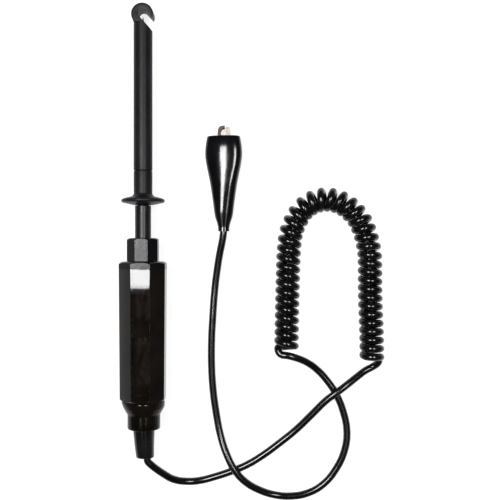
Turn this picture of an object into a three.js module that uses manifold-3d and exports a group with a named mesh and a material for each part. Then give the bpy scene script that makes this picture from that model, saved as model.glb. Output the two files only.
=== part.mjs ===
// Hook-tip circuit probe with an earth clip, joined by a part-coiled lead.
// Units are millimetres and +Z is up.  The probe lies along Y on the plane z = 0 with its hook towards +Y,
// and the origin is under the middle of the probe.  The clip and the lead lie beside it, towards +X.
import * as THREE from 'three';
import { mergeVertices } from 'three/addons/utils/BufferGeometryUtils.js';
import Module from 'manifold-3d';

const wasm = await Module();
wasm.setup();

// ---------------------------------------------------------------- driving dimensions
const GAP = 0.3; // between pieces that rest on or fit into each other
const RUNNING = 0.12; // radial clearance of the sliding sleeve
const ROUND = 32; // sides of a large turned piece
const SMALL = 20; // sides of a small turned piece

const HANDLE_FLATS = 22; // across the flats of the octagonal handle, at its front
const AXIS_Z = HANDLE_FLATS / 2; // height of the probe's axis
const HANDLE_FRONT = -18.7;
const HANDLE_REAR = -81.7;
const HANDLE_REAR_SCALE = 0.96; // the handle tapers towards the lead
const HANDLE_BORE = 8.6;
const NOSE_FRONT = -15;
const NOSE_SPIGOT_REAR = -26;
const PAST_CORNERS = 12.6; // radius that clears the corners of the octagon

const COLLAR_FLATS = 14.7;
const COLLAR_FRONT = -3.9;
const COLLAR_REAR = -14.7;

const SHAFT_RADIUS = 3.85;
const SHAFT_SHOULDER = 11.6; // the sleeve's stop
const NECK_RADIUS = 2.2; // thin front of the shaft, inside the sleeve
const NECK_END = 58.9;
const SHAFT_END = 63;
const SHAFT_BORE = 1.1;

const NEEDLE_RADIUS = 0.8;
const NEEDLE_TIP = 102.6;

const BARREL_RADIUS = 4.5;
const SEAM = 28.4; // joint between the hook sleeve and the finger flange
const SPIGOT_RADIUS = 3.6;
const SPIGOT_FRONT = 35;
const CHAMBER_RADIUS = 3.6; // spring chamber in the sleeve
const CHAMBER_FRONT = 66;
const FLANGE_RADIUS = 10.4;
const FLANGE_REAR = 11.9;

const HEAD_REAR = 99.3; // where the barrel turns into the flat head
const HEAD_CENTRE = 102.85;
const HEAD_RADIUS = 5.25;
const HEAD_HALF_THICKNESS = 4.4;
const SLOT_CENTRE = 103;
const SLOT_RADIUS = 2.05;
const SLOT_ANGLE = THREE.MathUtils.degToRad(46.5); // down from +X

const CAP_REAR = -95.5;
const CAP_BORE = 5.6;
const CAP_SPIGOT_FRONT = -79.1;
const RELIEF_HEAD = 2.3; // length of the wide head that holds the relief in the cap
const RELIEF_FRONT = -75.2;
const RELIEF_REAR = -109.25;
const RELIEF_LEAN = Math.tan(THREE.MathUtils.degToRad(2.9)); // the soft sleeve leans with the lead

const CORD_RADIUS = 1.8;
const CORD_LIE = CORD_RADIUS + 0.1; // height of the centre of a lead that lies on the table
const COIL_RADIUS = 6.05; // outside radius of the curly stretch

const LAMP_REAR = -52.4; // rear of the lamp's metal base
const LAMP_RADIUS = 4.6;
const HOLDER_BORE = LAMP_RADIUS + GAP;
const RELIEF_WASHER_REAR = -78.8;

const CLIP_ORIGIN = new THREE.Vector3(38.6, -0.9, 5.5); // rear end of the clip's boot, on its axis
const PIVOT = 41.5; // distance of the clip's pivot from that end

// ---------------------------------------------------------------- materials
const finish = (color, roughness, metalness = 0) =>
  new THREE.MeshStandardMaterial({ color, roughness, metalness });
const MATTE_BLACK = finish(0x222326, 0.62);
const GRAINED_BLACK = finish(0x25272b, 0.7);
const SMOKED = finish(0x1b1410, 0.08);
const RUBBER = finish(0x151516, 0.5);
const VINYL = finish(0x0b0b0c, 0.14);
const CORD_BLACK = finish(0x0c0c0d, 0.2);
const STEEL = finish(0xb9bbbd, 0.25, 1);
const NICKEL = finish(0xc8c1b4, 0.28, 1);
const BRASS = finish(0xb98a3e, 0.3, 1);
const GLASS = finish(0xe8eef0, 0.03);
const WHITE = finish(0xd8d4c8, 0.6);

// ---------------------------------------------------------------- shape helpers
function toSolid(geometry) {
  const bare = geometry.clone();
  bare.deleteAttribute('normal');
  bare.deleteAttribute('uv');
  const merged = mergeVertices(bare, 1e-4);
  const index = merged.index.array;
  const triangles = [];
  for (let i = 0; i < index.length; i += 3) {
    const [a, b, c] = [index[i], index[i + 1], index[i + 2]];
    if (a !== b && b !== c && c !== a) triangles.push(a, b, c);
  }
  const vertProperties = new Float32Array(merged.attributes.position.array);
  return new wasm.Manifold(new wasm.Mesh({ numProp: 3, vertProperties, triVerts: new Uint32Array(triangles) }));
}

function toGeometry(solid) {
  const mesh = solid.getMesh();
  const geometry = new THREE.BufferGeometry();
  geometry.setAttribute('position', new THREE.BufferAttribute(new Float32Array(mesh.vertProperties), 3));
  geometry.setIndex(Array.from(mesh.triVerts));
  geometry.computeVertexNormals();
  return geometry;
}

function union(...geometries) {
  return toGeometry(geometries.map(toSolid).reduce((sum, next) => sum.add(next)));
}

function cut(geometry, ...tools) {
  return toGeometry(tools.map(toSolid).reduce((rest, tool) => rest.subtract(tool), toSolid(geometry)));
}

function common(geometry, other) {
  return toGeometry(toSolid(geometry).intersect(toSolid(other)));
}

// A turned solid about the Y axis.  The outline is a list of [radius, y], with y rising on outer walls.
function turned(outline, sides = ROUND) {
  return new THREE.LatheGeometry(outline.map(([radius, y]) => new THREE.Vector2(radius, y)), sides);
}

function rod(radius, rear, front, sides = SMALL) {
  return turned([[0, rear], [radius, rear], [radius, front], [0, front]], sides);
}

function ring(inner, outer, rear, front, sides = SMALL) {
  return turned([[inner, rear], [outer, rear], [outer, front], [inner, front], [inner, rear]], sides);
}

function box(minimum, maximum) {
  const [low, high] = [new THREE.Vector3(...minimum), new THREE.Vector3(...maximum)];
  const size = high.clone().sub(low);
  const middle = high.add(low).multiplyScalar(0.5);
  return new THREE.BoxGeometry(size.x, size.y, size.z).translate(middle.x, middle.y, middle.z);
}

function shapeFrom(points) {
  return new THREE.Shape(points.map(([x, y]) => new THREE.Vector2(x, y)));
}

// A plate whose outline lies in XY, extruded from z = low to z = high.
function plate(points, low, high) {
  const options = { depth: high - low, bevelEnabled: false };
  return new THREE.ExtrudeGeometry(shapeFrom(points), options).translate(0, 0, low);
}

// An octagonal bar along Y, with a flat on top.
function octagon(flats, rear, front) {
  const corner = flats / 2 / Math.cos(Math.PI / 8);
  const points = [];
  for (let i = 0; i < 8; i += 1) {
    const angle = (i + 0.5) * Math.PI / 4;
    points.push([corner * Math.cos(angle), corner * Math.sin(angle)]);
  }
  return plate(points, 0, front - rear).rotateX(-Math.PI / 2).translate(0, rear, 0);
}

function tube(points, radius, steps, sides = 8) {
  const path = new THREE.CatmullRomCurve3(points.map((point) => new THREE.Vector3(...point)));
  const section = [];
  for (let i = 0; i < sides; i += 1) {
    const angle = i * 2 * Math.PI / sides;
    section.push([radius * Math.cos(angle), radius * Math.sin(angle)]);
  }
  return new THREE.ExtrudeGeometry(shapeFrom(section), { steps, extrudePath: path });
}

// A helix about the Y axis, returned as points.
function helix(radius, rear, front, turns, stepsPerTurn) {
  const points = [];
  const count = turns * stepsPerTurn;
  for (let i = 0; i <= count; i += 1) {
    const angle = i * 2 * Math.PI / stepsPerTurn;
    points.push([radius * Math.cos(angle), rear + (front - rear) * i / count, radius * Math.sin(angle)]);
  }
  return points;
}

function coilSpring(radius, wire, rear, front, turns) {
  const stepsPerTurn = 11;
  return tube(helix(radius, rear + wire, front - wire, turns, stepsPerTurn), wire, turns * stepsPerTurn, 6);
}

function moveVertices(geometry, change) {
  const position = geometry.attributes.position;
  const point = new THREE.Vector3();
  for (let i = 0; i < position.count; i += 1) {
    point.fromBufferAttribute(position, i);
    change(point);
    position.setXYZ(i, point.x, point.y, point.z);
  }
  return geometry;
}

function named(name, geometry, material) {
  const mesh = new THREE.Mesh(geometry, material);
  mesh.name = name;
  return mesh;
}

// ---------------------------------------------------------------- handle
function handleShell() {
  const front = HANDLE_FRONT - GAP;
  const outside = octagon(HANDLE_FLATS, HANDLE_REAR, front);
  const chamfer = turned([
    [0, HANDLE_REAR], [10.4, HANDLE_REAR], [PAST_CORNERS, HANDLE_REAR + 2.1], [PAST_CORNERS, front], [0, front],
  ]);
  const taper = (point) => {
    const share = (front - point.y) / (front - HANDLE_REAR);
    const scale = 1 + (HANDLE_REAR_SCALE - 1) * share;
    point.x *= scale;
    point.z *= scale;
  };
  const body = common(moveVertices(outside, taper), chamfer);
  return cut(body, rod(HANDLE_BORE, HANDLE_REAR - 1, front + 1, ROUND));
}

function noseCap() {
  const chamfer = turned([
    [0, HANDLE_FRONT], [PAST_CORNERS, HANDLE_FRONT], [PAST_CORNERS, NOSE_FRONT - 2.1],
    [11.9, NOSE_FRONT - 1.4], [11, NOSE_FRONT - 0.7], [10.2, NOSE_FRONT - 0.2], [8, NOSE_FRONT],
    [0, NOSE_FRONT],
  ]);
  const flange = common(octagon(HANDLE_FLATS, HANDLE_FRONT, NOSE_FRONT), chamfer);
  const spigot = rod(HANDLE_BORE - GAP, NOSE_SPIGOT_REAR, HANDLE_FRONT + 0.5, ROUND);
  return cut(union(flange, spigot), rod(SHAFT_RADIUS + GAP, NOSE_SPIGOT_REAR - 1, NOSE_FRONT + 1, ROUND));
}

function shaftCollar() {
  const chamfer = turned([
    [0, COLLAR_REAR], [8.1, COLLAR_REAR], [8.1, COLLAR_FRONT - 1.2], [7.7, COLLAR_FRONT - 0.6],
    [7, COLLAR_FRONT - 0.2], [6.2, COLLAR_FRONT], [0, COLLAR_FRONT],
  ]);
  const nut = common(octagon(COLLAR_FLATS, COLLAR_REAR, COLLAR_FRONT), chamfer);
  return cut(nut, rod(SHAFT_RADIUS + GAP, COLLAR_REAR - 1, COLLAR_FRONT + 1, ROUND));
}

function guideShaft() {
  const shoulder = NOSE_SPIGOT_REAR - GAP; // a collar behind the nose cap holds the shaft in
  const [rear, collar, thread, edge] = [shoulder - 3, 5.8, 1.75, 0.4];
  return turned([
    [SHAFT_BORE, rear], [collar, rear], [collar, shoulder], [SHAFT_RADIUS, shoulder],
    [SHAFT_RADIUS, SHAFT_SHOULDER - edge], [SHAFT_RADIUS - edge, SHAFT_SHOULDER],
    [NECK_RADIUS, SHAFT_SHOULDER], [NECK_RADIUS, NECK_END], [thread, NECK_END], [thread, SHAFT_END],
    [SHAFT_BORE, SHAFT_END], [SHAFT_BORE, rear],
  ], ROUND);
}

function needleRod() {
  const [rear, head, point] = [-31, 1.6, 0.5];
  return turned([
    [0, rear], [head, rear], [head, rear + 1.4], [NEEDLE_RADIUS, rear + 1.4], [NEEDLE_RADIUS, 92],
    [point, 94], [point, NEEDLE_TIP - 2.6], [0, NEEDLE_TIP],
  ], 16);
}

function endCap() {
  const front = HANDLE_REAR - GAP;
  const spigot = HANDLE_BORE - GAP;
  const dome = new THREE.Path();
  dome.moveTo(7.1, CAP_REAR);
  dome.quadraticCurveTo(7.85, CAP_REAR, 7.85, CAP_REAR + 1.2);
  dome.lineTo(7.9, -89);
  dome.quadraticCurveTo(7.95, -88.4, 8.5, -87.4);
  dome.lineTo(9.5, -85.3);
  dome.quadraticCurveTo(10.4, -83.4, 10.4, front);
  const outside = dome.getPoints(4).map((point) => [point.x, point.y]);
  return turned([
    [CAP_BORE, CAP_REAR], ...outside, [spigot, front], [spigot, CAP_SPIGOT_FRONT],
    [CAP_BORE, CAP_SPIGOT_FRONT], [CAP_BORE, CAP_REAR],
  ]);
}

// ---------------------------------------------------------------- strain relief
function strainRelief() {
  const [bore, stem, head] = [1.5, 5.2, 6.5];
  const relief = turned([
    [bore, RELIEF_REAR], [3.4, RELIEF_REAR], [4, RELIEF_REAR + 0.4], [4.3, RELIEF_REAR + 1.2],
    [4.65, -104], [stem, CAP_REAR - 0.4], [stem, RELIEF_FRONT - RELIEF_HEAD],
    [head, RELIEF_FRONT - RELIEF_HEAD], [head, RELIEF_FRONT], [bore, RELIEF_FRONT], [bore, CAP_REAR],
    [bore, RELIEF_REAR],
  ], 28);
  const lean = (point) => {
    point.x += RELIEF_LEAN * Math.max(0, CAP_REAR - point.y);
  };
  return moveVertices(relief, lean);
}

// ---------------------------------------------------------------- test lamp and its contacts
function lampBase() {
  const [front, contact] = [LAMP_REAR + 11.2, 1.4];
  return turned([
    [0, LAMP_REAR], [LAMP_RADIUS, LAMP_REAR], [LAMP_RADIUS, front - 2.2], [3.6, front - 1.8],
    [contact, front - 1], [contact, front], [0, front],
  ], SMALL);
}

function lampGlass() {
  const wall = 0.5;
  const [mouth, end] = [LAMP_REAR - GAP, -68];
  const outer = [[3.6, mouth], [3.9, -54], [5.2, -58.5], [5.2, -62], [4.2, -65.5], [2, end + 0.4], [0, end]];
  const inner = outer.slice(0, -1).map(([radius, y]) => [radius - wall, y + (y < end + 2 ? wall : 0)]);
  return turned([...outer, [0, end + wall], ...inner.reverse(), outer[0]].reverse(), SMALL);
}

function lampFilament() {
  const [foot, post, wire] = [LAMP_REAR - 0.8, 1.5, 0.2];
  return tube([
    [-post, foot, 0], [-post, -57, 0], [-post - 0.4, -60.5, 0], [0, -61.4, 0.3], [post + 0.4, -60.5, 0],
    [post, -57, 0], [post, foot, 0],
  ], wire, 24, 6);
}

function lampHolder() {
  return ring(HOLDER_BORE, HANDLE_BORE - GAP, LAMP_REAR + 1.4, LAMP_REAR + 6.4, ROUND);
}

function holderContact() {
  return ring(HOLDER_BORE, 7.4, LAMP_REAR - 0.2, LAMP_REAR + 1.1, ROUND);
}

function reliefWasher() {
  return ring(CAP_BORE - 0.1, HANDLE_BORE - 0.5, RELIEF_WASHER_REAR, RELIEF_WASHER_REAR + 1, ROUND);
}

function innerWire() {
  return tube([
    [1.2, -54.5, 6.6], [0.6, -58, 6.6], [-1, -63, 6.6], [-2.2, -67, 5.6], [-1.8, -69.6, 3.2],
    [-0.4, -71.6, 0.7], [0, -74, 0], [0, -79, 0], [0, -88, 0], [0, CAP_REAR, 0],
  ], 0.8, 34);
}

// ---------------------------------------------------------------- sliding sleeve
function hookHead() {
  const edge = 0.6;
  const [rim, face] = [HEAD_RADIUS, HEAD_HALF_THICKNESS];
  const disc = turned([
    [0, -face], [rim - edge, -face], [rim, -face + edge], [rim, face - edge], [rim - edge, face], [0, face],
  ], 56).rotateX(Math.PI / 2).translate(0, HEAD_CENTRE, 0);
  const headOnly = box([-8, HEAD_REAR, -8], [8, 112, 8]);
  const root = box([-BARREL_RADIUS + 0.05, HEAD_REAR, -face], [BARREL_RADIUS - 0.05, HEAD_CENTRE, face]);
  return union(common(disc, headOnly), root);
}

function hookSlot() {
  const end = rod(SLOT_RADIUS, -8, 8, 32).rotateX(Math.PI / 2);
  const channel = box([0, -SLOT_RADIUS, -8], [20, SLOT_RADIUS, 8]);
  return union(end, channel.rotateZ(-SLOT_ANGLE)).translate(0, SLOT_CENTRE, 0);
}

function hookSleeve() {
  const rear = SEAM + 0.15;
  const barrel = rod(BARREL_RADIUS, rear, HEAD_CENTRE - 2, ROUND);
  const socket = rod(SPIGOT_RADIUS + GAP, rear - 1, SPIGOT_FRONT + GAP, ROUND);
  const chamber = rod(CHAMBER_RADIUS, SPIGOT_FRONT, CHAMBER_FRONT, ROUND);
  const needleBore = rod(1.15, CHAMBER_FRONT - 1, SLOT_CENTRE, 16);
  return cut(union(barrel, hookHead()), socket, chamber, needleBore, hookSlot());
}

function fingerFlange() {
  const bore = NECK_RADIUS + RUNNING;
  const front = SEAM - 0.15;
  return turned([
    [bore, FLANGE_REAR], [4.4, FLANGE_REAR], [6.6, 12.35], [9.9, 13.1], [10.25, 13.35], [FLANGE_RADIUS, 13.75],
    [FLANGE_RADIUS, 14.3], [10.1, 14.75], [9.1, 15.15], [5, 16.2], [4.5, 16.5], [BARREL_RADIUS, front],
    [SPIGOT_RADIUS, front], [SPIGOT_RADIUS, SPIGOT_FRONT], [bore, SPIGOT_FRONT], [bore, FLANGE_REAR],
  ]);
}

// ---------------------------------------------------------------- earth clip
// Outlines seen from above, [across, along] from the rear of the boot, for a jaw on the left whose teeth
// face +X.  Both jaws share the arm.  The fixed jaw's tip hooks over, and the moving jaw's is straight.
const ARM = [
  [-3.3, 45], [-4, 42.2], [-5.6, 38.4], [-6.1, 33.6], [-5.1, 33.5], [-4.6, 37.3], [-2.8, 39.2], [0.8, 39.6],
  [1.7, 41.5], [0.8, 43.2], [-0.9, 44.2],
];
const HOOKED_JAW = [
  [0.5, 51.6], [-1.5, 51.4], [-2.6, 50.3], [-2.9, 47.5], ...ARM, [-1.6, 45], [-1.2, 45.8], [-1.7, 46.6],
  [-1.2, 47.4], [-1.7, 48.2], [-1.3, 49.1], [-0.8, 50.1], [0.5, 50.4],
];
const STRAIGHT_JAW = [
  [-1.2, 51.3], [-2.6, 51.1], [-3.1, 50.3], [-3.2, 47.5], ...ARM, [-1.4, 45], [-0.9, 45.8], [-1.3, 46.6],
  [-0.9, 47.4], [-1.3, 48.2], [-0.9, 49], [-1.3, 49.8], [-0.9, 50.6],
];
const SHEET = 0.6;

function jaw(outline, halfWidth, pinHole) {
  const channel = plate(outline.slice().reverse(), -halfWidth, halfWidth);
  const pocketOutline = outline.slice().reverse().map(([x, y]) => [x + SHEET, y]);
  const pocket = plate(pocketOutline, -halfWidth + SHEET, halfWidth - SHEET);
  const hole = rod(pinHole, -4, 4, 16).rotateX(Math.PI / 2).translate(0, PIVOT, 0);
  return cut(channel, pocket, hole);
}

function clipFixedJaw() {
  const tail = plate([[-5.5, 37], [-3, 34], [-2.3, 31.5], [-2.3, 26], [-1.7, 26], [-1.7, 31.8],
    [-2.5, 34.3], [-5.4, 37.7]], -1.2, 1.2);
  return union(jaw(HOOKED_JAW, 2.3, 1.2), tail);
}

function clipMovingJaw() {
  return moveVertices(jaw(STRAIGHT_JAW, 1.4, 1), (point) => point.set(-point.x, point.y, -point.z));
}

function clipSpring() {
  const points = [[-4.5, 37.6, -0.45], [-3, 39.6, -0.45]];
  const turns = 3;
  const stepsPerTurn = 10;
  const radius = 1.45;
  const first = Math.PI * 0.8;
  const sweep = turns * 2 * Math.PI - Math.PI * 0.6;
  const count = turns * stepsPerTurn;
  for (let i = 0; i <= count; i += 1) {
    const angle = first - sweep * i / count;
    const height = -0.45 + 0.9 * i / count;
    points.push([radius * Math.cos(angle), PIVOT + radius * Math.sin(angle), height]);
  }
  points.push([3, 39.6, 0.45], [4.5, 37.6, 0.45]);
  return tube(points, 0.17, 46, 6);
}

// Half width and half height of the boot at some distances from its rear end.
const BOOT_STATIONS = [
  [0.3, 2.75, 2.75], [2.2, 2.8, 2.75], [4.4, 3.3, 3], [8.3, 4.45, 3.6], [15.9, 5.45, 4.2], [24, 6.7, 4.9],
  [33, 8.5, 5.35], [37.6, 9.05, 5.5], [42, 8.8, 5.3], [46.3, 8.1, 4.9],
];
const BOOT_WALL = 0.9;
const BOOT_BORE = 1.95; // where the lead goes in
const BOOT_SIDES = 28;

function bootRing(along, halfWidth, halfHeight) {
  const points = [];
  for (let i = 0; i < BOOT_SIDES; i += 1) {
    const angle = i * 2 * Math.PI / BOOT_SIDES;
    points.push(new THREE.Vector3(halfWidth * Math.cos(angle), along, halfHeight * Math.sin(angle)));
  }
  return points;
}

function clipBoot() {
  const outer = BOOT_STATIONS.map((station) => bootRing(...station));
  const inner = BOOT_STATIONS.map(([along, width, height]) =>
    bootRing(along, Math.max(BOOT_BORE, width - BOOT_WALL), Math.max(BOOT_BORE, height - BOOT_WALL)));
  const loop = [...outer, ...inner.reverse()];
  const vertices = loop.flat().flatMap((point) => point.toArray());
  const index = [];
  for (let r = 0; r < loop.length; r += 1) {
    for (let i = 0; i < BOOT_SIDES; i += 1) {
      const next = (i + 1) % BOOT_SIDES;
      const [a, b] = [r * BOOT_SIDES + i, r * BOOT_SIDES + next];
      const above = ((r + 1) % loop.length) * BOOT_SIDES;
      index.push(a, above + i, b, b, above + i, above + next);
    }
  }
  const geometry = new THREE.BufferGeometry();
  geometry.setAttribute('position', new THREE.Float32BufferAttribute(vertices, 3));
  geometry.setIndex(index);
  geometry.computeVertexNormals();
  return geometry;
}

// ---------------------------------------------------------------- lead
// Routes are [x, y, z] of the cord's centre.  It leaves the strain relief, drops to the table, passes over
// the clip's lead and turns up into the curly stretch, an arch of two legs.
const PROBE_LEAD = [
  [2, -109.8, 11], [2.2, -111.2, 10.9], [3.7, -113, 10.4], [6.4, -115.6, 9.2], [9.8, -118.5, 7.4],
  [14, -121.5, 5.3], [20.6, -123.2, 2.9], [27, -123, 1.9], [33.7, -121.3, CORD_LIE], [40.9, -119, CORD_LIE],
  [49.4, -115.6, CORD_LIE], [57.8, -110.6, CORD_LIE], [66.2, -104.4, 1.9], [74, -98, 2.3],
  [82, -89.8, 4], [88.6, -83, 5.3], [93.7, -79.1, 5.9], [98.8, -75.4, 5.1], [103.6, -72, 3.5],
  [108, -69, 2.2], [112.4, -66.7, 1.9],
];
const COIL_AXIS = [
  [110.7, -62.6], [110.5, -49.6], [109.9, -33.8], [109.8, -21.6], [109.7, -13.4], [109.2, -8.7], [107.9, -2.9],
  [106.5, 1.1], [104.6, 5.1], [101.7, 8.7], [98, 11.9], [93.5, 14.1], [88.1, 14.9], [82.6, 13.7], [78, 10.8],
  [75.2, 7.3], [72.9, 3], [71.5, -0.9], [70.7, -5.5], [70.1, -13.4], [69.8, -23.3], [69.5, -35], [69.1, -58],
];
const CLIP_LEAD = [
  [66.2, -60.4, 6.2], [69.6, -61, 6.9], [74.2, -62.3, 6.2], [79.6, -64.9, 4], [84.8, -68.9, 2.3],
  [89.3, -73.9, CORD_LIE], [93.5, -80.1, CORD_LIE], [97.2, -89, CORD_LIE], [99.1, -99.3, CORD_LIE],
  [97.8, -108.6, CORD_LIE], [93.7, -117.4, CORD_LIE], [87.3, -125, CORD_LIE], [79.6, -129.3, CORD_LIE],
  [71.8, -130.7, CORD_LIE], [64, -130.2, 1.9], [56, -127.3, 3.4], [49.2, -122.9, 5.1], [44.4, -117.6, 5.9],
  [40.3, -110.2, 4.9], [37, -101, 2.7], [34.8, -90, CORD_LIE], [33.2, -78.1, CORD_LIE],
  [32.5, -66.7, CORD_LIE], [32.5, -54, CORD_LIE], [33, -43.9, CORD_LIE], [34.1, -28.8, 1.9],
  [35.2, -20, 2.5], [36.5, -11.9, 3.8], [38, -4.6, 5.2], [38.5, -0.9, 5.5],
];
const probeLead = () => tube(PROBE_LEAD, CORD_RADIUS, 28);
const coilBody = () => tube(COIL_AXIS.map(([x, y]) => [x, y, COIL_RADIUS + 0.02]), COIL_RADIUS, 44, 14);
const clipLead = () => tube(CLIP_LEAD, CORD_RADIUS, 48);

// ---------------------------------------------------------------- assembly
const probe = new THREE.Group();
probe.position.z = AXIS_Z;
probe.add(
  named('handle_shell', handleShell(), SMOKED),
  named('nose_cap', noseCap(), GRAINED_BLACK),
  named('shaft_collar', shaftCollar(), GRAINED_BLACK),
  named('guide_shaft', guideShaft(), MATTE_BLACK),
  named('shaft_end_nut', ring(2.05, 3.2, NECK_END + GAP, SHAFT_END - 0.2), STEEL),
  named('needle_rod', needleRod(), STEEL),
  named('rod_terminal', rod(2.2, -34.2, -31.3), BRASS),
  named('contact_spring', coilSpring(1.05, 0.25, -40.9, -34.5, 5), BRASS),
  named('lamp_base', lampBase(), BRASS),
  named('lamp_glass', lampGlass(), GLASS),
  named('lamp_filament', lampFilament(), STEEL),
  named('lamp_holder', lampHolder(), WHITE),
  named('holder_contact', holderContact(), BRASS),
  named('inner_wire', innerWire(), CORD_BLACK),
  named('relief_washer', reliefWasher(), BRASS),
  named('end_cap', endCap(), SMOKED),
  named('strain_relief', strainRelief(), RUBBER),
  named('return_spring', coilSpring(2.85, 0.35, 36.3, 58.9, 12), STEEL),
  named('seat_washer', ring(NECK_RADIUS + RUNNING, 3.3, SPIGOT_FRONT + GAP, SPIGOT_FRONT + GAP + 0.7), STEEL),
  named('finger_flange', fingerFlange(), MATTE_BLACK),
  named('hook_sleeve', hookSleeve(), MATTE_BLACK),
);

const clip = new THREE.Group();
clip.position.copy(CLIP_ORIGIN);
const pin = rod(0.88, -2.7, 2.7, 16).rotateX(Math.PI / 2).translate(0, PIVOT, 0);
const crimp = ring(1.15, 1.65, 26.3, 30.6, 16).translate(0.3, 0, 0);
clip.add(
  named('clip_fixed_jaw', clipFixedJaw(), NICKEL),
  named('clip_moving_jaw', clipMovingJaw(), NICKEL),
  named('clip_pivot_pin', pin, STEEL),
  named('clip_spring', clipSpring(), STEEL),
  named('clip_crimp', crimp, NICKEL),
  named('clip_wire', rod(0.8, 0.6, 31.5, 12).translate(0.3, 0, 0), CORD_BLACK),
  named('clip_boot', clipBoot(), VINYL),
);

const lead = new THREE.Group();
lead.add(
  named('cord_probe_lead', probeLead(), CORD_BLACK),
  named('cord_coil', coilBody(), CORD_BLACK),
  named('cord_clip_lead', clipLead(), CORD_BLACK),
);

const tester = new THREE.Group();
tester.add(probe, clip, lead);

export default tester;
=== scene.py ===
"""Looks of a hook-tip circuit probe: a sliding hook sleeve, a smoked lamp handle, a curly lead and a clip.

Sizes are written in millimetres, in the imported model's frame, and turned into metres where a mesh is made.
"""

import math

import bpy
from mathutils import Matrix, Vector


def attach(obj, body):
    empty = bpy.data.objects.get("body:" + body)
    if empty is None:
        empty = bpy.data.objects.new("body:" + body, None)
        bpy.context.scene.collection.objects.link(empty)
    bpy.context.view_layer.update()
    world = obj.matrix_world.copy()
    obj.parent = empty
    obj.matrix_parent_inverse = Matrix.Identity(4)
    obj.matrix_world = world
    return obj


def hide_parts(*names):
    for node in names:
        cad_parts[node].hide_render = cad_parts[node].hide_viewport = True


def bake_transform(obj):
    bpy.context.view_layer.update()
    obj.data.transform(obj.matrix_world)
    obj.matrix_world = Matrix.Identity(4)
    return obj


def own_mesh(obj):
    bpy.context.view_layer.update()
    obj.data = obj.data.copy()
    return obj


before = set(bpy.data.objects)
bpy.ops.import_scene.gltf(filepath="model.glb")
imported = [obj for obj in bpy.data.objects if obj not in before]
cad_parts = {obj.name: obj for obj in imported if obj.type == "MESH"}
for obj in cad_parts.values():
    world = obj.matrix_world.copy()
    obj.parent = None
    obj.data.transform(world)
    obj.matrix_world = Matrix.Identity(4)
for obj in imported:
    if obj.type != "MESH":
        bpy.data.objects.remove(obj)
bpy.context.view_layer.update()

# ---------------------------------------------------------------- driving dimensions, in millimetres
MM = 0.001
AXIS_Z = 11.0  # height of the probe's axis
CLIP_ORIGIN = (38.6, -0.9, 5.5)  # rear end of the boot, on its axis

HANDLE_FLATS = 22.0
HANDLE_FRONT = -18.7
HANDLE_REAR = -81.7
HANDLE_REAR_SCALE = 0.96  # the handle tapers towards the lead
HANDLE_BORE = 8.6
NOSE_GAP = 0.05  # between the shell and the nose cap
PAST_CORNERS = 12.6  # radius that clears the corners of the octagon
NOSE_FRONT = -15.0
NOSE_SPIGOT_REAR = -26.0
COLLAR_FLATS = 14.7
COLLAR_FRONT = -3.9
COLLAR_REAR = -14.95
CAP_REAR = -95.5
CAP_SPIGOT_FRONT = -79.1
RELIEF_REAR = -109.25
RELIEF_HEAD_FRONT = -75.2
RELIEF_HEAD_REAR = -77.5
CAP_LEAN = 0.4  # how far the rear cap is pulled aside by the lead
CAP_LEAN_OVER = 3.0  # stretch behind the shell over which it leans
RELIEF_LEAN = 0.6  # the same for the strain relief's end, on top of that

SHAFT_RADIUS = 3.85
SHAFT_SHOULDER = -26.3
BARREL_RADIUS = 4.5
SEAM = 28.4
SEAM_GAP = 0.15  # from the seam to the sleeve on one side and to the flange's collar on the other
FIT_GAP = 0.3
SLOT_CENTRE = 103.0
SLOT_RADIUS = 2.05
SLOT_ANGLE = math.radians(46.5)
HEAD_CENTRE = 102.85
HEAD_RADIUS = 5.25
HEAD_HALF = 4.4
HEAD_REAR = 99.3  # where the flat head leaves the round barrel
FLANGE_REAR = 11.9
FLANGE_SPIGOT_FRONT = 35.0

SPRING_RADIUS = 3.2  # outside radius of the spring inside the sleeve
SPRING_WIRE = 0.35
SPRING_REAR = 36.3
SPRING_FRONT = 58.9
SPRING_TURNS = 12

CORD_RADIUS = 1.8
CORD_LIE = CORD_RADIUS + 0.1
COIL_RADIUS = 6.05  # outside radius of the curly stretch
COIL_TURNS = 40
POINTS_PER_TURN = 14

TURNED_SIDES = 96
CAMERA_PLACE = (51.4, -9.7, 401.5)
CAMERA_LENS = 58.5
FLOOR_HALF = 2500.0
GLOW_HALF = 126.0  # the glowing square of the floor, under the camera
GLOW_FADE = 75.0

# Lamps overhead: name, centre, size and power in watts.
SOFTBOXES = [
    ("softbox_left", (-160, 61, 700), (200, 258), 7.8),
    ("softbox_left_low", (-185, -199, 700), (150, 262), 0.5),
    ("softbox_right", (300, 61, 700), (140, 258), 4.6),
    ("softbox_right_low", (300, -199, 700), (140, 262), 0.45),
]

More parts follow.
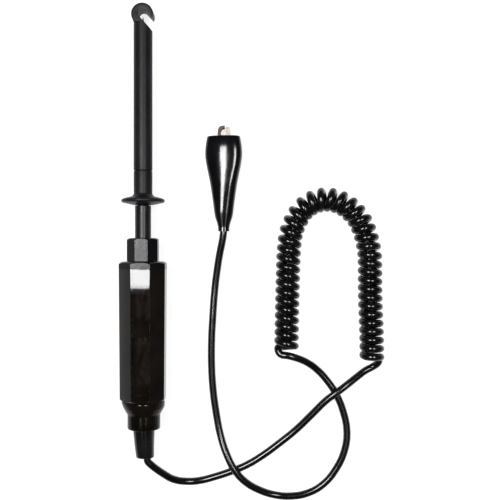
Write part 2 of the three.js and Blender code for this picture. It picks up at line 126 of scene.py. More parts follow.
# Centre of the cord, the same routes as in the CAD model: [x, y, z].
PROBE_LEAD = [
    [2, -109.8, 11], [2.2, -111.2, 10.9], [3.7, -113, 10.4], [6.4, -115.6, 9.2], [9.8, -118.5, 7.4],
    [14, -121.5, 5.3], [20.6, -123.2, 2.9], [27, -123, 1.9], [33.7, -121.3, CORD_LIE],
    [40.9, -119, CORD_LIE], [49.4, -115.6, CORD_LIE], [57.8, -110.6, CORD_LIE], [66.2, -104.4, 1.9],
    [74, -98, 2.3], [82, -89.8, 4], [88.6, -83, 5.3], [93.7, -79.1, 5.9], [98.8, -75.4, 5.1],
    [103.6, -72, 3.5], [108, -69, 2.2], [112.4, -66.7, 1.9],
]
COIL_AXIS = [
    [110.7, -62.6], [110.5, -49.6], [109.9, -33.8], [109.8, -21.6], [109.7, -13.4], [109.2, -8.7],
    [107.9, -2.9], [106.5, 1.1], [104.6, 5.1], [101.7, 8.7], [98, 11.9], [93.5, 14.1], [88.1, 14.9],
    [82.6, 13.7], [78, 10.8], [75.2, 7.3], [72.9, 3], [71.5, -0.9], [70.7, -5.5], [70.1, -13.4],
    [69.8, -23.3], [69.5, -35], [69.1, -58],
]
CLIP_LEAD = [
    [66.2, -60.4, 6.2], [69.6, -61, 6.9], [74.2, -62.3, 6.2], [79.6, -64.9, 4], [84.8, -68.9, 2.3],
    [89.3, -73.9, CORD_LIE], [93.5, -80.1, CORD_LIE], [97.2, -89, CORD_LIE], [99.1, -99.3, CORD_LIE],
    [97.8, -108.6, CORD_LIE], [93.7, -117.4, CORD_LIE], [87.3, -125, CORD_LIE], [79.6, -129.3, CORD_LIE],
    [71.8, -130.7, CORD_LIE], [64, -130.2, 1.9], [56, -127.3, 3.4], [49.2, -122.9, 5.1],
    [44.4, -117.6, 5.9], [40.3, -110.2, 4.9], [37, -101, 2.7], [34.8, -90, CORD_LIE],
    [33.2, -78.1, CORD_LIE], [32.5, -66.7, CORD_LIE], [32.5, -54, CORD_LIE], [33, -43.9, CORD_LIE],
    [34.1, -28.8, 1.9], [35.2, -20, 2.5], [36.5, -11.9, 3.8], [38, -4.6, 5.2], [38.5, -0.9, 5.5],
]


# ---------------------------------------------------------------- materials
def link(tree, source, output, target, socket):
    tree.links.new(source.outputs[output], target.inputs[socket])


def noise(tree, coordinates, scale, detail):
    texture = tree.nodes.new("ShaderNodeTexNoise")
    texture.inputs["Scale"].default_value = scale
    texture.inputs["Detail"].default_value = detail
    link(tree, coordinates, "Object", texture, "Vector")
    return texture


def spread(tree, source, low, high):
    """Turns a noise value into a number between low and high."""
    node = tree.nodes.new("ShaderNodeMapRange")
    node.inputs["From Min"].default_value = 0.3
    node.inputs["From Max"].default_value = 0.7
    node.inputs["To Min"].default_value = low
    node.inputs["To Max"].default_value = high
    link(tree, source, "Fac", node, "Value")
    return node


def surface(name, dark, light, rough, grain=None, waves=None, metallic=0.0, specular=0.5, alpha=1.0):
    """A procedural surface: clouded colour and roughness, with fine grain and slow waves as bump.

    rough is (least, most), and grain and waves are (features per metre, depth in millimetres)."""
    material = bpy.data.materials.new(name)
    material.use_nodes = True
    tree = material.node_tree
    shader = tree.nodes["Principled BSDF"]
    shader.inputs["Metallic"].default_value = metallic
    shader.inputs["Specular IOR Level"].default_value = specular
    shader.inputs["Alpha"].default_value = alpha
    coordinates = tree.nodes.new("ShaderNodeTexCoord")
    clouds = noise(tree, coordinates, 90.0, 5.0)
    ramp = tree.nodes.new("ShaderNodeValToRGB")
    ramp.color_ramp.elements[0].position = 0.35
    ramp.color_ramp.elements[0].color = (*dark, 1)
    ramp.color_ramp.elements[1].position = 0.68
    ramp.color_ramp.elements[1].color = (*light, 1)
    link(tree, clouds, "Fac", ramp, "Fac")
    link(tree, ramp, "Color", shader, "Base Color")
    smudges = noise(tree, coordinates, 240.0, 6.0)
    link(tree, spread(tree, smudges, *rough), "Result", shader, "Roughness")
    previous = None
    for layer in (waves, grain):
        if layer is None:
            continue
        scale, depth = layer
        bump = tree.nodes.new("ShaderNodeBump")
        bump.inputs["Strength"].default_value = 1.0
        bump.inputs["Distance"].default_value = depth * MM
        link(tree, noise(tree, coordinates, scale, 3.0), "Fac", bump, "Height")
        if previous is not None:
            link(tree, previous, "Normal", bump, "Normal")
        previous = bump
    if previous is not None:
        link(tree, previous, "Normal", shader, "Normal")
    return material


def shade_sides(material, top, side):
    """Makes the walls that face sideways let less light through, so they read darker from every side:
    painted shade standing in for the longer path through the plastic seen from above.
    """
    tree = material.node_tree
    geometry = tree.nodes.new("ShaderNodeNewGeometry")
    split = tree.nodes.new("ShaderNodeSeparateXYZ")
    sideways = tree.nodes.new("ShaderNodeMath")
    sideways.operation = "ABSOLUTE"
    share = tree.nodes.new("ShaderNodeMapRange")
    share.inputs["From Min"].default_value = 0.25
    share.inputs["From Max"].default_value = 0.7
    share.inputs["To Min"].default_value = top
    share.inputs["To Max"].default_value = side
    link(tree, geometry, "True Normal", split, "Vector")
    link(tree, split, "X", sideways, "Value")
    link(tree, sideways, "Value", share, "Value")
    link(tree, share, "Result", tree.nodes["Principled BSDF"], "Alpha")


MATTE_BLACK = surface(
    "matte_black_plastic", (0.0034, 0.0034, 0.0044), (0.006, 0.006, 0.0075), (0.36, 0.46),
    grain=(5200, 0.02), waves=(160, 0.02), specular=0.11,
)
SATIN_BLACK = surface(
    "satin_black_plastic", (0.0034, 0.0034, 0.0044), (0.006, 0.006, 0.0075), (0.3, 0.38),
    grain=(5200, 0.01), specular=0.2,
)
GRAINED_BLACK = surface(
    "grained_black_plastic", (0.002, 0.002, 0.0024), (0.004, 0.004, 0.0048), (0.14, 0.22),
    grain=(1200, 0.06), specular=0.1,
)
SMOKED = surface(
    "smoked_plastic", (0.002, 0.0014, 0.001), (0.005, 0.0034, 0.0024), (0.02, 0.05), waves=(45, 0.04),
    specular=0.3,
)
shade_sides(SMOKED, 0.78, 0.988)
SMOKED_BORE = surface(
    "smoked_bore", (0.002, 0.0014, 0.001), (0.006, 0.004, 0.003), (0.5, 0.7), specular=0.1, alpha=0.6,
)
SMOKED_CAP = surface(
    "smoked_cap", (0.002, 0.0015, 0.001), (0.006, 0.004, 0.0025), (0.1, 0.18), waves=(60, 0.03),
    specular=0.14,
)
shade_sides(SMOKED_CAP, 0.93, 0.97)
RUBBER = surface(
    "relief_rubber", (0.003, 0.003, 0.0032), (0.006, 0.006, 0.006), (0.1, 0.14),
    grain=(3000, 0.002), specular=0.3,
)
VINYL = surface(
    "boot_vinyl", (0.0015, 0.0015, 0.002), (0.003, 0.003, 0.0035), (0.1, 0.17),
    waves=(130, 0.05), specular=0.28,
)
CORD_PVC = surface(
    "cord_pvc", (0.0015, 0.0015, 0.0018), (0.003, 0.003, 0.003), (0.13, 0.22), grain=(1500, 0.008),
    waves=(260, 0.02), specular=0.3,
)
STEEL = surface(
    "plated_steel", (0.4, 0.4, 0.4), (0.6, 0.6, 0.59), (0.14, 0.28), grain=(4000, 0.006), metallic=1.0,
)
NICKEL = surface(
    "nickel_sheet", (0.22, 0.2, 0.165), (0.34, 0.31, 0.26), (0.55, 0.7), grain=(3000, 0.01), metallic=1.0,
)
# The fixed jaw's nickel: the same sheet as the moving jaw, painted much darker and browner as painted shade.
SHADED_NICKEL = surface(
    "shaded_nickel_sheet", (0.015, 0.01, 0.008), (0.06, 0.045, 0.035), (0.35, 0.5),
    grain=(1600, 0.03), metallic=1.0,
)
BRASS = surface("brass", (0.7, 0.33, 0.1), (0.92, 0.52, 0.2), (0.08, 0.2), grain=(3000, 0.01), metallic=1.0)
# A darker, rougher copy of the brass for the washer: the darker colour is painted shade that dims its
# glints.
DIMMED_BRASS = surface(
    "dimmed_brass", (0.2, 0.08, 0.02), (0.35, 0.17, 0.06), (0.2, 0.35), grain=(3000, 0.01), metallic=1.0,
)
GLASS = surface("lamp_glass", (0.8, 0.85, 0.85), (0.9, 0.93, 0.93), (0.02, 0.05), alpha=0.3)
HOLDER = surface("holder_plastic", (0.03, 0.024, 0.02), (0.06, 0.05, 0.04), (0.4, 0.6), grain=(3000, 0.02))
WIRE = surface("wire_insulation", (0.3, 0.08, 0.03), (0.42, 0.13, 0.05), (0.25, 0.4), grain=(3000, 0.01))


# ---------------------------------------------------------------- mesh helpers
def make_object(name, vertices, faces, material, sharp=35.0):
    """A mesh piece from points in millimetres, smooth except at edges sharper than the angle given."""
    mesh = bpy.data.meshes.new(name)
    mesh.from_pydata([Vector(point) * MM for point in vertices], [], faces)
    mesh.validate()
    piece = bpy.data.objects.new(name, mesh)
    bpy.context.scene.collection.objects.link(piece)
    finish_mesh(piece, material, sharp)
    return piece


def finish_mesh(piece, material, sharp=35.0):
    mesh = piece.data
    mesh.materials.clear()
    mesh.materials.append(material)
    for polygon in mesh.polygons:
        polygon.use_smooth = True
    mesh.set_sharp_from_angle(angle=math.radians(sharp))


def flatten_shading(piece):
    """Keeps the large flat faces flat beside their rounded edges."""
    modifier = piece.modifiers.new("flat_shading", "WEIGHTED_NORMAL")
    modifier.keep_sharp = True


def fillet(outline, radius, steps=4):
    """Rounds the corners of a closed outline of [x, y] points with short quadratic curves."""
    points = [Vector(point) for point in outline]
    if not radius:
        return points
    count = len(points)
    result = []
    for i, corner in enumerate(points):
        before = points[i - 1] - corner
        after = points[(i + 1) % count] - corner
        reach = min(radius, before.length * 0.45, after.length * 0.45)
        start = corner + before.normalized() * reach
        end = corner + after.normalized() * reach
        for step in range(steps + 1):
            t = step / steps
            result.append(start * (1 - t) ** 2 + corner * 2 * t * (1 - t) + end * t * t)
    return result


def loop_faces(rows, columns):
    """Four-sided faces between rows of points, closed both along and across."""
    faces = []
    for row in range(rows):
        here, there = row * columns, (row + 1) % rows * columns
        for i in range(columns):
            j = (i + 1) % columns
            faces.append((here + i, there + i, there + j, here + j))
    return faces


def turned(name, outline, material, radius):
    """A closed outline of [distance, y], turned about the probe's axis, with corners rounded to radius."""
    profile = fillet(outline, radius)
    vertices = []
    for side in range(TURNED_SIDES):
        angle = 2 * math.pi * side / TURNED_SIDES
        for distance, y in profile:
            vertices.append((distance * math.sin(angle), y, AXIS_Z + distance * math.cos(angle)))
    return make_object(name, vertices, loop_faces(TURNED_SIDES, len(profile)), material)


def solid_rod(name, radius, rear, front, sides=TURNED_SIDES):
    """A plain capped rod about the probe's axis, to be cut, joined or used as a cutting tool."""
    vertices = []
    for y in (rear, front):
        for side in range(sides):
            angle = 2 * math.pi * side / sides
            vertices.append((radius * math.sin(angle), y, AXIS_Z + radius * math.cos(angle)))
    faces = [tuple(range(sides))[::-1], tuple(range(sides, 2 * sides))]
    for side in range(sides):
        after = (side + 1) % sides
        faces.append((side, after, sides + after, sides + side))
    return make_object(name, vertices, faces, MATTE_BLACK)


def prism(name, outline, low, high, axis="z"):
    """An outline of [x, y] extruded in z, or of [x, z] about the probe's axis extruded in y."""
    count = len(outline)
    vertices = []
    for level in (low, high):
        for x, other in outline:
            vertices.append((x, other, level) if axis == "z" else (x, level, AXIS_Z + other))
    faces = [tuple(range(count))[::-1], tuple(range(count, 2 * count))]
    for i in range(count):
        j = (i + 1) % count
        faces.append((i, j, count + j, count + i))
    if axis == "y":
        faces = [face[::-1] for face in faces]
    return make_object(name, vertices, faces, MATTE_BLACK)


def line_bore(piece, radius, material):
    """Gives the wall of a bore about the probe's axis a material of its own."""
    piece.data.materials.append(material)
    for polygon in piece.data.polygons:
        centre = polygon.center / MM
        near = 0.1
        if math.hypot(centre.x, centre.z - AXIS_Z) < radius + near:
            polygon.material_index = 1


def apply_modifiers(piece):
    graph = bpy.context.evaluated_depsgraph_get()
    mesh = bpy.data.meshes.new_from_object(piece.evaluated_get(graph))
    piece.modifiers.clear()
    piece.data = mesh


def combine(piece, tool, operation):
    modifier = piece.modifiers.new("combine", "BOOLEAN")
    modifier.operation = operation
    modifier.solver = "EXACT"
    modifier.object = tool
    apply_modifiers(piece)
    bpy.data.objects.remove(tool)


def soften(piece, width, segments=3, angle=30.0):
    """Rounds the sharp edges of a finished piece."""
    modifier = piece.modifiers.new("edge", "BEVEL")
    modifier.width = width * MM
    modifier.segments = segments
    modifier.limit_method = "ANGLE"
    modifier.angle_limit = math.radians(angle)
    modifier.use_clamp_overlap = True
    apply_modifiers(piece)


def lean(piece, start, end, shift, power):
    """Moves what lies behind start towards +X, by the whole shift at end and beyond."""
    for vertex in piece.data.vertices:
        share = (start - vertex.co.y / MM) / (start - end)
        vertex.co.x += shift * MM * min(1.0, max(0.0, share)) ** power


def octagon(flats):
    """Its corners as [x, z], with a flat on top, at the given distance between opposite flats."""
    corner = flats / 2 / math.cos(math.pi / 8)
    angles = [(i + 0.5) * math.pi / 4 for i in range(8)]
    return [(corner * math.cos(angle), corner * math.sin(angle)) for angle in angles]


def spline(points, samples):
    """Evenly spaced points on a smooth curve through the points given."""
    steps = 12
    knots = [Vector(point) for point in points]
    fine = []
    for i in range(len(knots) - 1):
        p0, p1 = knots[max(i - 1, 0)], knots[i]
        p2, p3 = knots[i + 1], knots[min(i + 2, len(knots) - 1)]
        for step in range(steps):
            t = step / steps
            fine.append(
                0.5 * (2 * p1 + (p2 - p0) * t + (2 * p0 - 5 * p1 + 4 * p2 - p3) * t * t
                       + (3 * p1 - p0 - 3 * p2 + p3) * t ** 3)
            )
    fine.append(knots[-1])
    reach = [0.0]
    for a, b in zip(fine, fine[1:]):
        reach.append(reach[-1] + (b - a).length)
    result = []
    segment = 0
    for sample in range(samples + 1):
        target = reach[-1] * sample / samples
        while segment < len(fine) - 2 and reach[segment + 1] < target:
            segment += 1
        span = reach[segment + 1] - reach[segment]
        result.append(fine[segment].lerp(fine[segment + 1], (target - reach[segment]) / span))
    return result


# ---------------------------------------------------------------- camera and light
def add_camera():
    data = bpy.data.cameras.new("camera")
    data.lens = CAMERA_LENS
    data.clip_start = 0.01
    camera = bpy.data.objects.new("camera", data)
    camera.location = Vector(CAMERA_PLACE) * MM
    bpy.context.scene.collection.objects.link(camera)
    bpy.context.scene.camera = camera


def add_softbox(name, centre, size, power):
    """A rectangular lamp overhead, facing straight down."""
    data = bpy.data.lights.new(name, "AREA")
    data.shape = "RECTANGLE"
    data.size, data.size_y = (extent * MM for extent in size)
    data.energy = power
    lamp = bpy.data.objects.new(name, data)
    lamp.location = Vector(centre) * MM
    bpy.context.scene.collection.objects.link(lamp)


def add_world():
    """Nearly dark overhead and dim grey at the horizon."""
    world = bpy.data.worlds.new("studio")
    world.use_nodes = True
    tree = world.node_tree
    background = tree.nodes["Background"]
    coordinates = tree.nodes.new("ShaderNodeTexCoord")
    split = tree.nodes.new("ShaderNodeSeparateXYZ")
    ramp = tree.nodes.new("ShaderNodeValToRGB")
    ramp.color_ramp.elements[0].position = 0.02
    ramp.color_ramp.elements[0].color = (0.12, 0.12, 0.125, 1)
    ramp.color_ramp.elements[1].position = 0.55
    ramp.color_ramp.elements[1].color = (0.015, 0.015, 0.016, 1)
    link(tree, coordinates, "Generated", split, "Vector")
    link(tree, split, "Z", ramp, "Fac")
    link(tree, ramp, "Color", background, "Color")
    background.inputs["Strength"].default_value = 1.0
    bpy.context.scene.world = world


def light_middle(material, bright, dim):
    """Makes the material glow in a square under the camera, fading outside it."""
    tree = material.node_tree
    shader = tree.nodes["Principled BSDF"]
    coordinates = tree.nodes.new("ShaderNodeTexCoord")
    from_centre = tree.nodes.new("ShaderNodeVectorMath")
    from_centre.operation = "SUBTRACT"
    from_centre.inputs[1].default_value = (CAMERA_PLACE[0] * MM, CAMERA_PLACE[1] * MM, 0)
    size = tree.nodes.new("ShaderNodeVectorMath")
    size.operation = "ABSOLUTE"
    split = tree.nodes.new("ShaderNodeSeparateXYZ")
    larger = tree.nodes.new("ShaderNodeMath")
    larger.operation = "MAXIMUM"
    fade = tree.nodes.new("ShaderNodeMapRange")
    fade.interpolation_type = "SMOOTHSTEP"
    fade.inputs["From Min"].default_value = GLOW_HALF * MM
    fade.inputs["From Max"].default_value = (GLOW_HALF + GLOW_FADE) * MM
    fade.inputs["To Min"].default_value = bright
    fade.inputs["To Max"].default_value = dim
    link(tree, coordinates, "Object", from_centre, 0)
    link(tree, from_centre, "Vector", size, 0)
    link(tree, size, "Vector", split, "Vector")
    link(tree, split, "X", larger, 0)
    link(tree, split, "Y", larger, 1)
    link(tree, larger, "Value", fade, "Value")
    link(tree, fade, "Result", shader, "Emission Strength")
    shader.inputs["Emission Color"].default_value = (1, 1, 1, 1)


def add_floor():
    """Pale, and glowing like a light table round the object, which keeps the shadows faint."""
    half = FLOOR_HALF
    paper = surface("floor_paper", (0.21, 0.21, 0.21), (0.23, 0.23, 0.23), (0.85, 0.95))
    light_middle(paper, 0.8, 0.15)
    corners = [(-half, -half, 0), (half, -half, 0), (half, half, 0), (-half, half, 0)]
    floor = make_object("floor", corners, [(0, 1, 2, 3)], paper)
    floor.location.z = -0.02 * MM


# ---------------------------------------------------------------- lead
def coil_points():
    """The helix of the curly stretch, wound round its axis: loosest over the top of the arch."""
    samples = 1600
    axis = spline([(x, y, COIL_RADIUS + 0.02) for x, y in COIL_AXIS], samples)
    radius = COIL_RADIUS - CORD_RADIUS
    loosening = 0.11
    first, last = math.radians(-20), math.radians(-10)
    phase = [0.0]
    for i in range(samples):
        middle = (i / samples - 0.5) / 0.2
        phase.append(phase[-1] + 1 - loosening * math.exp(-middle ** 4))
    total = 2 * math.pi * COIL_TURNS + last - first
    count = COIL_TURNS * POINTS_PER_TURN
    points = []
    index = 0
    for step in range(count + 1):
        target = phase[-1] * step / count
        while index < samples - 1 and phase[index + 1] < target:
            index += 1
        share = (target - phase[index]) / (phase[index + 1] - phase[index])
        place = axis[index].lerp(axis[index + 1], share)
        ahead = (axis[index + 1] - axis[index]).normalized()
        right = Vector((ahead.y, -ahead.x, 0))
        angle = first + total * step / count
        tilt = 0.5 - 0.8 * step / count
        points.append(
            place + right * radius * math.cos(angle) + Vector((0, 0, radius * math.sin(angle)))
            + ahead * tilt * math.cos(angle)
        )
    return points


def add_lead():
    inside_relief = (1.4, -107.2, 11)
    entering_coil = (114.2, -64.9, 3.2)
    inside_boot = (38.6, 1.6, 5.5)
    route = [inside_relief, *PROBE_LEAD, entering_coil, *coil_points(), *CLIP_LEAD, inside_boot]
    data = bpy.data.curves.new("lead", "CURVE")
    data.dimensions = "3D"
    data.bevel_depth = CORD_RADIUS * MM
    data.bevel_resolution = 5
    data.resolution_u = 3
    data.use_fill_caps = True
    curve = data.splines.new("BEZIER")
    curve.bezier_points.add(len(route) - 1)
    for point, place in zip(curve.bezier_points, route):
        point.co = Vector(place) * MM
        point.handle_left_type = "AUTO"
        point.handle_right_type = "AUTO"
    data.materials.append(CORD_PVC)
    lead = bpy.data.objects.new("lead", data)
    bpy.context.scene.collection.objects.link(lead)
    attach(lead, "handle")
    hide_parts("cord_probe_lead", "cord_coil", "cord_clip_lead")
    return lead


# ---------------------------------------------------------------- handle
def add_handle_shell():
    rear, front = HANDLE_REAR, HANDLE_FRONT - NOSE_GAP
    shell = prism("handle_shell_skin", octagon(HANDLE_FLATS), rear, front, axis="y")
    for vertex in shell.data.vertices:
        share = (front * MM - vertex.co.y) / ((front - rear) * MM)
        scale = 1 + (HANDLE_REAR_SCALE - 1) * share
        vertex.co.x *= scale
        vertex.co.z = AXIS_Z * MM + (vertex.co.z - AXIS_Z * MM) * scale
    chamfer = turned(
        "chamfer",
        [[0.01, rear - 0.01], [10.4, rear - 0.01], [PAST_CORNERS, rear + 2.1], [PAST_CORNERS, front + 1],
         [0.01, front + 1]],
        SMOKED, radius=0.0,
    )
    combine(shell, chamfer, "INTERSECT")
    combine(shell, solid_rod("bore", HANDLE_BORE, rear - 1, front + 1), "DIFFERENCE")
    soften(shell, 0.5, 4, 25)
    finish_mesh(shell, SMOKED, 32)
    line_bore(shell, HANDLE_BORE, SMOKED_BORE)
    flatten_shading(shell)
    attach(shell, "handle")
    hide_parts("handle_shell")


def add_nose_cap():
    cap = prism("nose_cap_skin", octagon(HANDLE_FLATS), HANDLE_FRONT, NOSE_FRONT, axis="y")
    rear, face = HANDLE_FRONT - 1, NOSE_FRONT - 0.02
    chamfer = turned(
        "chamfer",
        [[0.01, rear], [PAST_CORNERS, rear], [PAST_CORNERS, -17.1], [11.9, -16.4], [11, -15.7],
         [10.2, -15.25], [8, face], [0.01, face]],
        GRAINED_BLACK, radius=0.4,
    )
    combine(cap, chamfer, "INTERSECT")
    spigot = solid_rod("spigot", HANDLE_BORE - FIT_GAP, NOSE_SPIGOT_REAR, HANDLE_FRONT + 0.5)
    combine(cap, spigot, "UNION")
    bore = solid_rod("bore", SHAFT_RADIUS + FIT_GAP, NOSE_SPIGOT_REAR - 1, NOSE_FRONT + 1)
    combine(cap, bore, "DIFFERENCE")
    soften(cap, 0.22, 3, 25)
    finish_mesh(cap, GRAINED_BLACK, 32)
    flatten_shading(cap)
    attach(cap, "handle")
    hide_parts("nose_cap")


def add_shaft_collar():
    rear, front = COLLAR_REAR, COLLAR_FRONT
    nut = prism("shaft_collar_skin", octagon(COLLAR_FLATS), rear, front, axis="y")
    chamfer = turned(
        "chamfer",
        [[0.01, rear - 1], [8.1, rear - 1], [8.1, -5.3], [7.7, -4.6], [7, -4.15], [6.2, front - 0.02],
         [0.01, front - 0.02]],
        GRAINED_BLACK, radius=0.4,
    )
    combine(nut, chamfer, "INTERSECT")
    combine(nut, solid_rod("bore", SHAFT_RADIUS + FIT_GAP, rear - 1, front + 1), "DIFFERENCE")
    soften(nut, 0.2, 3, 25)
    finish_mesh(nut, GRAINED_BLACK, 32)
    flatten_shading(nut)
    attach(nut, "handle")
    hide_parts("shaft_collar")


def add_guide_shaft():
    shoulder, spigot_end = SHAFT_SHOULDER, 63
    shaft = turned(
        "guide_shaft_skin",
        [[1.1, shoulder - 3], [5.8, shoulder - 3], [5.8, shoulder], [SHAFT_RADIUS, shoulder],
         [SHAFT_RADIUS, 11.6], [2.2, 11.6], [2.2, SPRING_FRONT], [1.75, SPRING_FRONT], [1.75, spigot_end],
         [1.1, spigot_end]],
        SATIN_BLACK, radius=0.35,
    )
    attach(shaft, "handle")
    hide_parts("guide_shaft")


def add_end_cap():
    spigot, bore = HANDLE_BORE - FIT_GAP, 5.6
    front = HANDLE_REAR - FIT_GAP
    cap = turned(
        "end_cap_skin",
        [[bore, CAP_REAR], [7.85, CAP_REAR], [7.88, -88.5], [8.5, -87.5], [9.85, -85.1], [10.25, -83.6],
         [10.4, front], [spigot, front], [spigot, CAP_SPIGOT_FRONT], [bore, CAP_SPIGOT_FRONT]],
        SMOKED_CAP, radius=0.9,
    )
    lean(cap, front, HANDLE_REAR - CAP_LEAN_OVER, CAP_LEAN, 1.0)
    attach(cap, "handle")
    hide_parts("end_cap")


def add_strain_relief():
    front, head_rear = RELIEF_HEAD_FRONT, RELIEF_HEAD_REAR
    relief = turned(
        "strain_relief_skin",
        [[3.0, RELIEF_REAR], [4.3, RELIEF_REAR], [4.65, -104], [5.2, CAP_REAR - 0.3], [5.2, head_rear],
         [6.5, head_rear], [6.5, front], [1.9, front], [1.9, -100]],
        RUBBER, radius=0.8,
    )
    lean(relief, HANDLE_REAR - FIT_GAP, HANDLE_REAR - CAP_LEAN_OVER, CAP_LEAN, 1.0)
    lean(relief, CAP_REAR, RELIEF_REAR, RELIEF_LEAN, 1.6)
    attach(relief, "handle")
    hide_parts("strain_relief")


# ---------------------------------------------------------------- sliding sleeve
def head_disc():
    """The round, flat head: a disc lying flat, with rounded rims."""
    sides = 112
    outline = fillet(
        [[0.01, -HEAD_HALF], [HEAD_RADIUS, -HEAD_HALF], [HEAD_RADIUS, HEAD_HALF], [0.01, HEAD_HALF]], 0.75,
    )
    vertices = []
    for side in range(sides):
        angle = 2 * math.pi * side / sides
        for radius, height in outline:
            vertices.append(
                (radius * math.cos(angle), HEAD_CENTRE + radius * math.sin(angle), AXIS_Z + height)
            )
    return make_object("disc", vertices, loop_faces(sides, len(outline)), MATTE_BLACK)


def slot_outline():
    """The slot seen from above: a round inner end and two straight sides running off to the lower right."""
    points = []
    steps = 24
    for step in range(steps + 1):
        angle = math.pi / 2 + math.pi * step / steps - SLOT_ANGLE
        points.append((SLOT_RADIUS * math.cos(angle), SLOT_CENTRE + SLOT_RADIUS * math.sin(angle)))
    past_the_rim = 20
    along = Vector((math.cos(SLOT_ANGLE), -math.sin(SLOT_ANGLE))) * past_the_rim
    points.append((points[-1][0] + along.x, points[-1][1] + along.y))
    points.append((points[0][0] + along.x, points[0][1] + along.y))
    return points


def add_hook_sleeve():
    rear = SEAM + SEAM_GAP
    sleeve = solid_rod("hook_sleeve_skin", BARREL_RADIUS, rear, HEAD_CENTRE - 2)
    half = BARREL_RADIUS - 0.05
    disc = head_disc()
    head_only = prism(
        "head_only", [(-8, HEAD_REAR), (8, HEAD_REAR), (8, 112), (-8, 112)], AXIS_Z - 8, AXIS_Z + 8,
    )
    combine(disc, head_only, "INTERSECT")
    root = prism(
        "root", [(-half, HEAD_REAR), (half, HEAD_REAR), (half, HEAD_CENTRE), (-half, HEAD_CENTRE)],
        AXIS_Z - HEAD_HALF, AXIS_Z + HEAD_HALF,
    )
    soften(root, 0.5)
    combine(sleeve, root, "UNION")
    combine(sleeve, disc, "UNION")
    combine(sleeve, prism("slot", slot_outline(), AXIS_Z - 9, AXIS_Z + 9), "DIFFERENCE")
    combine(sleeve, solid_rod("socket", 3.9, rear - 1, 35.3, 64), "DIFFERENCE")
    combine(sleeve, solid_rod("chamber", 3.6, 35, 66, 64), "DIFFERENCE")
    combine(sleeve, solid_rod("needle_bore", 1.15, 65, SLOT_CENTRE, 32), "DIFFERENCE")
    soften(sleeve, 0.16, 2, 35)
    finish_mesh(sleeve, MATTE_BLACK, 50)
    flatten_shading(sleeve)
    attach(sleeve, "sleeve")
    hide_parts("hook_sleeve")


def add_finger_flange():
    bore, spigot = 2.32, 3.6
    front = SEAM - SEAM_GAP
    flange = turned(
        "finger_flange_skin",
        [[bore, FLANGE_REAR], [4.4, FLANGE_REAR], [6.8, 12.4], [9.8, 13.05], [10.4, 13.5], [10.4, 14.5],
         [9.2, 15.15], [5.4, 16.05], [4.45, 17.2], [BARREL_RADIUS, front], [spigot, front],
         [spigot, FLANGE_SPIGOT_FRONT], [bore, FLANGE_SPIGOT_FRONT]],
        MATTE_BLACK, radius=0.45,
    )
    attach(flange, "sleeve")
    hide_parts("finger_flange")


# ---------------------------------------------------------------- spring inside the sleeve
def add_return_spring():
    """It lies between the sleeve's washer behind it and the shaft's nut in front of it."""
    turns, steps = SPRING_TURNS, 24
    radius = SPRING_RADIUS - SPRING_WIRE
    low, high = SPRING_REAR + SPRING_WIRE, SPRING_FRONT - SPRING_WIRE
    data = bpy.data.curves.new("wound_wire", "CURVE")
    data.dimensions = "3D"
    data.bevel_depth = SPRING_WIRE * MM
    data.bevel_resolution = 3
    data.use_fill_caps = True
    wire = data.splines.new("POLY")
    wire.points.add(turns * steps)
    for step, point in enumerate(wire.points):
        angle = 2 * math.pi * step / steps
        y = low + (high - low) * step / (turns * steps)
        place = Vector((radius * math.cos(angle), y, AXIS_Z + radius * math.sin(angle))) * MM
        point.co = (*place, 1)
    wound = bpy.data.objects.new("wound_wire", data)
    mesh = bpy.data.meshes.new_from_object(wound)
    bpy.data.objects.remove(wound)
    spring = bpy.data.objects.new("return_spring_skin", mesh)
    bpy.context.scene.collection.objects.link(spring)
    finish_mesh(spring, STEEL, 50)
    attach(spring, "handle")
    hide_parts("return_spring")
    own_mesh(spring)


# ---------------------------------------------------------------- boot
# Half width and half height of the boot at some distances from its rear end.
BOOT_STATIONS = [
    (0.3, 2.75, 2.75), (2.2, 2.8, 2.75), (4.4, 3.3, 3.0), (8.3, 4.45, 3.6), (15.9, 5.45, 4.2),
    (24.0, 6.7, 4.9), (33.0, 8.5, 5.35), (37.6, 9.05, 5.5), (42.0, 8.8, 5.4), (46.3, 8.1, 4.9),
]
BOOT_CURVE = spline(BOOT_STATIONS, 200)
BOOT_WALL = 0.9
BOOT_SQUARENESS = 0.87  # 1 is an ellipse, less is squarer
BOOT_CREST = 0.33  # how far the top is pushed aside by the clip's arms, as a share of the half width


def boot_size(along):
    """Half width and half height at a distance from the rear end, on a smooth curve."""
    for before, after in zip(BOOT_CURVE, BOOT_CURVE[1:]):
        if along <= after.x:
            share = max(0.0, (along - before.x) / (after.x - before.x))
            place = before.lerp(after, share)
            return place.y, place.z
    return BOOT_CURVE[-1].y, BOOT_CURVE[-1].z


def boot_ring(along, shrink, sides):
    """A squarish ring of points, shrunk by the wall for the inside, which narrows round the lead."""
    width, height = boot_size(along)
    if shrink and along < 4:
        width, height = CORD_RADIUS + 0.1 + shrink, CORD_RADIUS + 0.1 + shrink
    crest = BOOT_CREST * width * min(1.0, max(0.0, (along - 10) / 22)) ** 0.8
    ring = []
    for side in range(sides):
        angle = 2 * math.pi * side / sides
        cosine, sine = math.cos(angle), math.sin(angle)
        x = (width - shrink) * math.copysign(abs(cosine) ** BOOT_SQUARENESS, cosine)
        z = (height - shrink) * math.copysign(abs(sine) ** BOOT_SQUARENESS, sine)
        x += crest * (1 - cosine * cosine)
        ring.append((CLIP_ORIGIN[0] + x, CLIP_ORIGIN[1] + along, CLIP_ORIGIN[2] + z))
    return ring


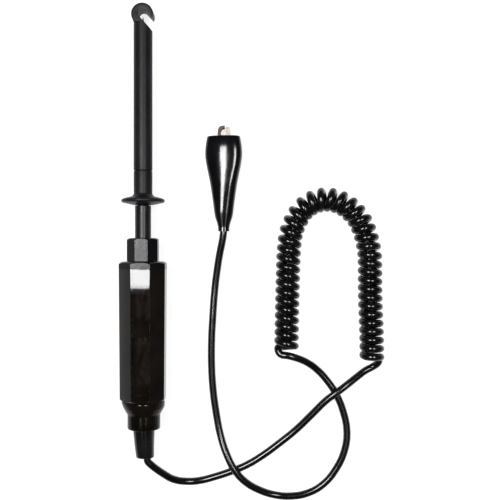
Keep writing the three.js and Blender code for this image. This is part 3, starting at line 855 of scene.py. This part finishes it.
def add_clip_boot():
    sides, outer_steps, inner_steps = 72, 70, 40
    start, length = BOOT_STATIONS[0][0], BOOT_STATIONS[-1][0]
    outer = [start + (length - start) * i / outer_steps for i in range(outer_steps + 1)]
    rings = [boot_ring(along, 0.0, sides) for along in outer]
    rings.append(boot_ring(length + 0.25, 0.28, sides))
    rings.append(boot_ring(length + 0.25, BOOT_WALL - 0.25, sides))
    inner = [start + (length - start) * i / inner_steps for i in range(inner_steps + 1)]
    rings.extend(boot_ring(along, BOOT_WALL, sides) for along in reversed(inner))
    faces = [(a, d, c, b) for a, b, c, d in loop_faces(len(rings), sides)]
    vertices = [point for ring in rings for point in ring]
    boot = make_object("clip_boot_skin", vertices, faces, VINYL, 60)
    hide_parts("clip_boot")
    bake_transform(boot)


# ---------------------------------------------------------------- CAD pieces kept as they are
KEPT = {
    STEEL: ["shaft_end_nut", "needle_rod", "lamp_filament", "seat_washer", "clip_pivot_pin", "clip_spring"],
    NICKEL: ["clip_moving_jaw", "clip_crimp"],
    SHADED_NICKEL: ["clip_fixed_jaw"],
    BRASS: ["rod_terminal", "contact_spring", "lamp_base", "holder_contact"],
    DIMMED_BRASS: ["relief_washer"],
    GLASS: ["lamp_glass"],
    HOLDER: ["lamp_holder"],
    WIRE: ["inner_wire", "clip_wire"],
}
SHEET_METAL = ("clip_fixed_jaw", "clip_moving_jaw", "clip_crimp")
SHEET_EDGE = 0.12


def dress_kept_nodes():
    for material, names in KEPT.items():
        for name in names:
            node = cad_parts[name]
            finish_mesh(node, material, 40)
            if name in SHEET_METAL:
                edge = node.modifiers.new("edge", "BEVEL")
                edge.width = SHEET_EDGE * MM
                edge.segments = 2
                edge.limit_method = "ANGLE"


# ---------------------------------------------------------------- the whole
def build():
    add_camera()
    lead = add_lead()
    for softbox in SOFTBOXES:
        add_softbox(*softbox)
    add_world()
    add_floor()
    add_handle_shell()
    add_nose_cap()
    add_shaft_collar()
    add_guide_shaft()
    add_end_cap()
    add_strain_relief()
    add_hook_sleeve()
    add_finger_flange()
    add_return_spring()
    add_clip_boot()
    dress_kept_nodes()
    bpy.context.scene.view_settings.view_transform = "Standard"


build()
